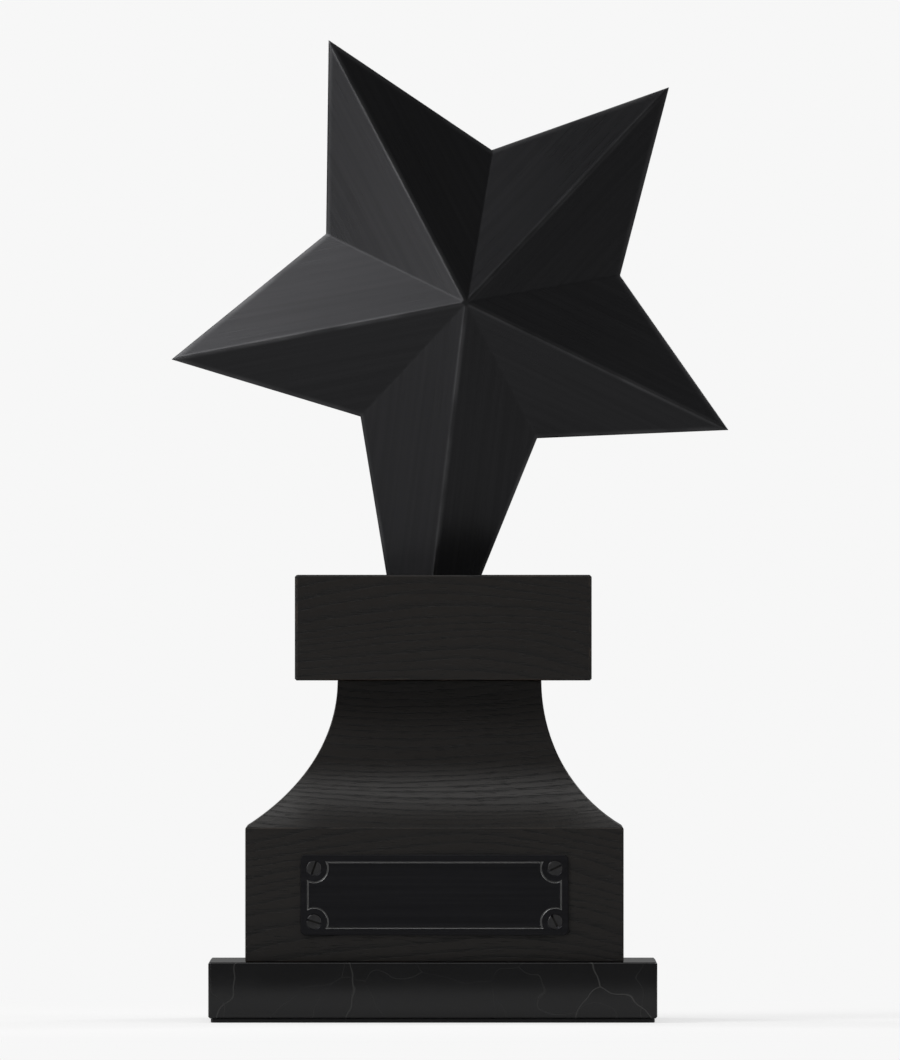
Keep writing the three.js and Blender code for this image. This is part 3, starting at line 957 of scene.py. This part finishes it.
def round_ridges(shape, side):
    """Half of the star with its ridges, valleys and rim rounded.

    The rim's faces meet the facets along their long edges.
    """
    facets = facets_of(shape, side)
    long_sides = [edge for facet in facets for edge in facet.edges if edge.calc_length() > 5 * MM]
    rim = {face for edge in long_sides for face in edge.link_faces if face not in facets}

    def rounding(edge):
        outer = sum(face in facets for face in edge.link_faces)
        sides = sum(face in rim for face in edge.link_faces)
        if outer == 2:
            return RIDGE_EDGE
        if outer and sides:
            return RIM_EDGE
        return FINE_EDGE if outer or sides else 0

    return baked(rounded("ridges", shape, rounding, segments=5))


def round_holes(edge):
    """Rounds the edge between a counterbore's wall, which runs along Y, and a facet or a ridge."""
    wall, outside = sorted(face.normal.y for face in edge.link_faces)
    at_rim = edge.verts[0].co.y > PAST_SEATS
    return FINE_EDGE if at_rim and abs(wall) < ALONGSIDE and outside > OUTWARD else 0


def star_screw(node, paint):
    """A socket screw whose head is knurled."""
    low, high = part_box(node)
    head = (high.x - low.x) / 2
    shank = 2 * MM
    edge = 0.4 * MM
    seat = high.y - HEAD_HEIGHT
    profile = [
        (0.6 * shank, low.y),
        (shank, low.y + edge),
        (shank, seat),
        (head - 0.3 * edge, seat),
        (head, seat + 0.3 * edge),
        (head, high.y - 1.2 * edge),
        (head - 0.35 * edge, high.y - 0.45 * edge),
        (head - 0.8 * edge, high.y - 0.1 * edge),
        (head - 1.2 * edge, high.y),
    ]

    def knurl(radius, height, angle):
        """Fine teeth round the head's side."""
        on_side = radius == head
        return radius - KNURL_DEPTH * (0.5 - 0.5 * math.cos(KNURL_TEETH * angle)) * on_side

    middle = middle_of(node)
    place = (middle.x, 0, middle.z)
    solid = turned(profile, place, "Y", sides=4 * KNURL_TEETH, radius_at=knurl)
    socket = turned([(SOCKET, high.y - SOCKET_DEPTH), (SOCKET, high.y + MM)], place, "Y", sides=6)
    piece(node, cut_out(solid, socket), paint)


def star():
    """The back's counterbores are cut after its ridges are rounded, so that both stay clean."""
    paint = star_metal()
    piece("star_front", round_ridges(cad_shape("star_front"), -1), paint, sharp=TURNED)
    back = round_ridges(fill_counterbores(cad_shape("star_back")), 1)
    piece("star_back", sink_counterbores(back), paint, round_holes, segments=2, sharp=TURNED)
    black = black_oxide()
    for node in nodes_named("star_screw"):
        star_screw(node, black)


# ---------------------------------------------------------------- the tie rod, nuts, washers and dowels

PITCH = 1 * MM  # of the rod's thread
THREAD_DEPTH = 0.55 * MM
BORE = 3.3 * MM  # radius of the holes in the nuts and washers


def tie_rod(paint):
    """Threaded from end to end."""
    low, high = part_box("tie_rod")
    radius = (high.x - low.x) / 2
    per_turn = 6
    count = round((high.z - low.z) / PITCH * per_turn)
    heights = [low.z + (high.z - low.z) * i / count for i in range(count + 1)]

    def thread(outer, height, angle):
        turn = (height / PITCH + angle / math.tau) % 1
        ends = min(height - low.z, high.z - height, THREAD_DEPTH)
        crest = outer - (THREAD_DEPTH - ends)
        return min(crest, outer - THREAD_DEPTH * (1 - abs(2 * turn - 1)))

    profile = [(radius, height) for height in heights]
    piece("tie_rod", turned(profile, (0, 0, 0), sides=24, radius_at=thread), paint)


def nut(node, paint):
    """A hexagon nut with chamfered corners."""
    low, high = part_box(node)
    flats = high.y - low.y
    corner = flats / math.sqrt(3)
    face = 0.95 * flats / 2  # radius of the flat end inside the chamfer
    slope = 1 / math.sqrt(3)
    middle = middle_of(node)
    place = (middle.x, middle.y, 0)
    solid = turned([(corner, low.z), (corner, high.z)], place, sides=6)
    bore = turned([(BORE, low.z - MM), (BORE, high.z + MM)], place)
    rings = []
    for end, way in ((low.z, 1), (high.z, -1)):
        profile = [
            (face - MM, end - way * slope * MM),
            (corner + MM, end + way * slope * (corner + MM - face)),
            (corner + MM, end - way * slope * MM),
        ]
        rings.append(turned(profile, place, sides=96, closed=True))
    piece(node, cut_out(solid, bore, *rings), paint)


def washer_ring(low, high, start, end, steps, edge=0.15 * MM):
    """Sections of a washer between two angles."""
    outer = (high.x - low.x) / 2
    section = [
        (BORE + edge, low.z),
        (outer - edge, low.z),
        (outer, low.z + edge),
        (outer, high.z - edge),
        (outer - edge, high.z),
        (BORE + edge, high.z),
        (BORE, high.z - edge),
        (BORE, low.z + edge),
    ]
    rings = []
    for step in range(steps):
        angle = start + (end - start) * step / (steps - 1)
        rings.append([Vector((r * math.cos(angle), r * math.sin(angle), z)) for r, z in section])
    return rings


def washers(paint):
    """A wide flat washer, and a spring washer with its split towards the back."""
    low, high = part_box("penny_washer")
    steps = 96
    rings = washer_ring(low, high, 0, math.tau * (1 - 1 / steps), steps)
    piece("penny_washer", loft(rings, closed=True), paint)
    low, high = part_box("spring_washer")
    half_split = 0.11  # radians
    start, end = math.pi / 2 + half_split, math.pi / 2 + math.tau - half_split
    piece("spring_washer", loft(washer_ring(low, high, start, end, 64)), paint)


def dowel(node, paint):
    """A fluted pin with chamfered ends."""
    low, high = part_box(node)
    radius = (high.x - low.x) / 2
    chamfer = 0.75 * MM
    flutes = 16
    depth = 0.2 * MM

    def flute(out, height, angle):
        return out - depth * (0.5 - 0.5 * math.cos(flutes * angle)) ** 4

    profile = [
        (radius - chamfer, low.z),
        (radius, low.z + chamfer),
        (radius, high.z - chamfer),
        (radius - chamfer, high.z),
    ]
    middle = middle_of(node)
    shape = turned(profile, (middle.x, middle.y, 0), sides=6 * flutes, radius_at=flute)
    piece(node, shape, paint)


def inner_parts():
    steel = zinc_steel()
    tie_rod(steel)
    nut("base_nut", steel)
    nut("coupling_nut", steel)
    washers(steel)
    wood = beech()
    for node in CAD:
        if "dowel" in node:
            dowel(node, wood)


# ---------------------------------------------------------------- the scene

camera()
floor()
world()
lights()
bpy.context.scene.view_settings.view_transform = "Standard"

felt()
plinth()
body()
neck_and_cap()
name_plate()
plate_screws()
star()
inner_parts()
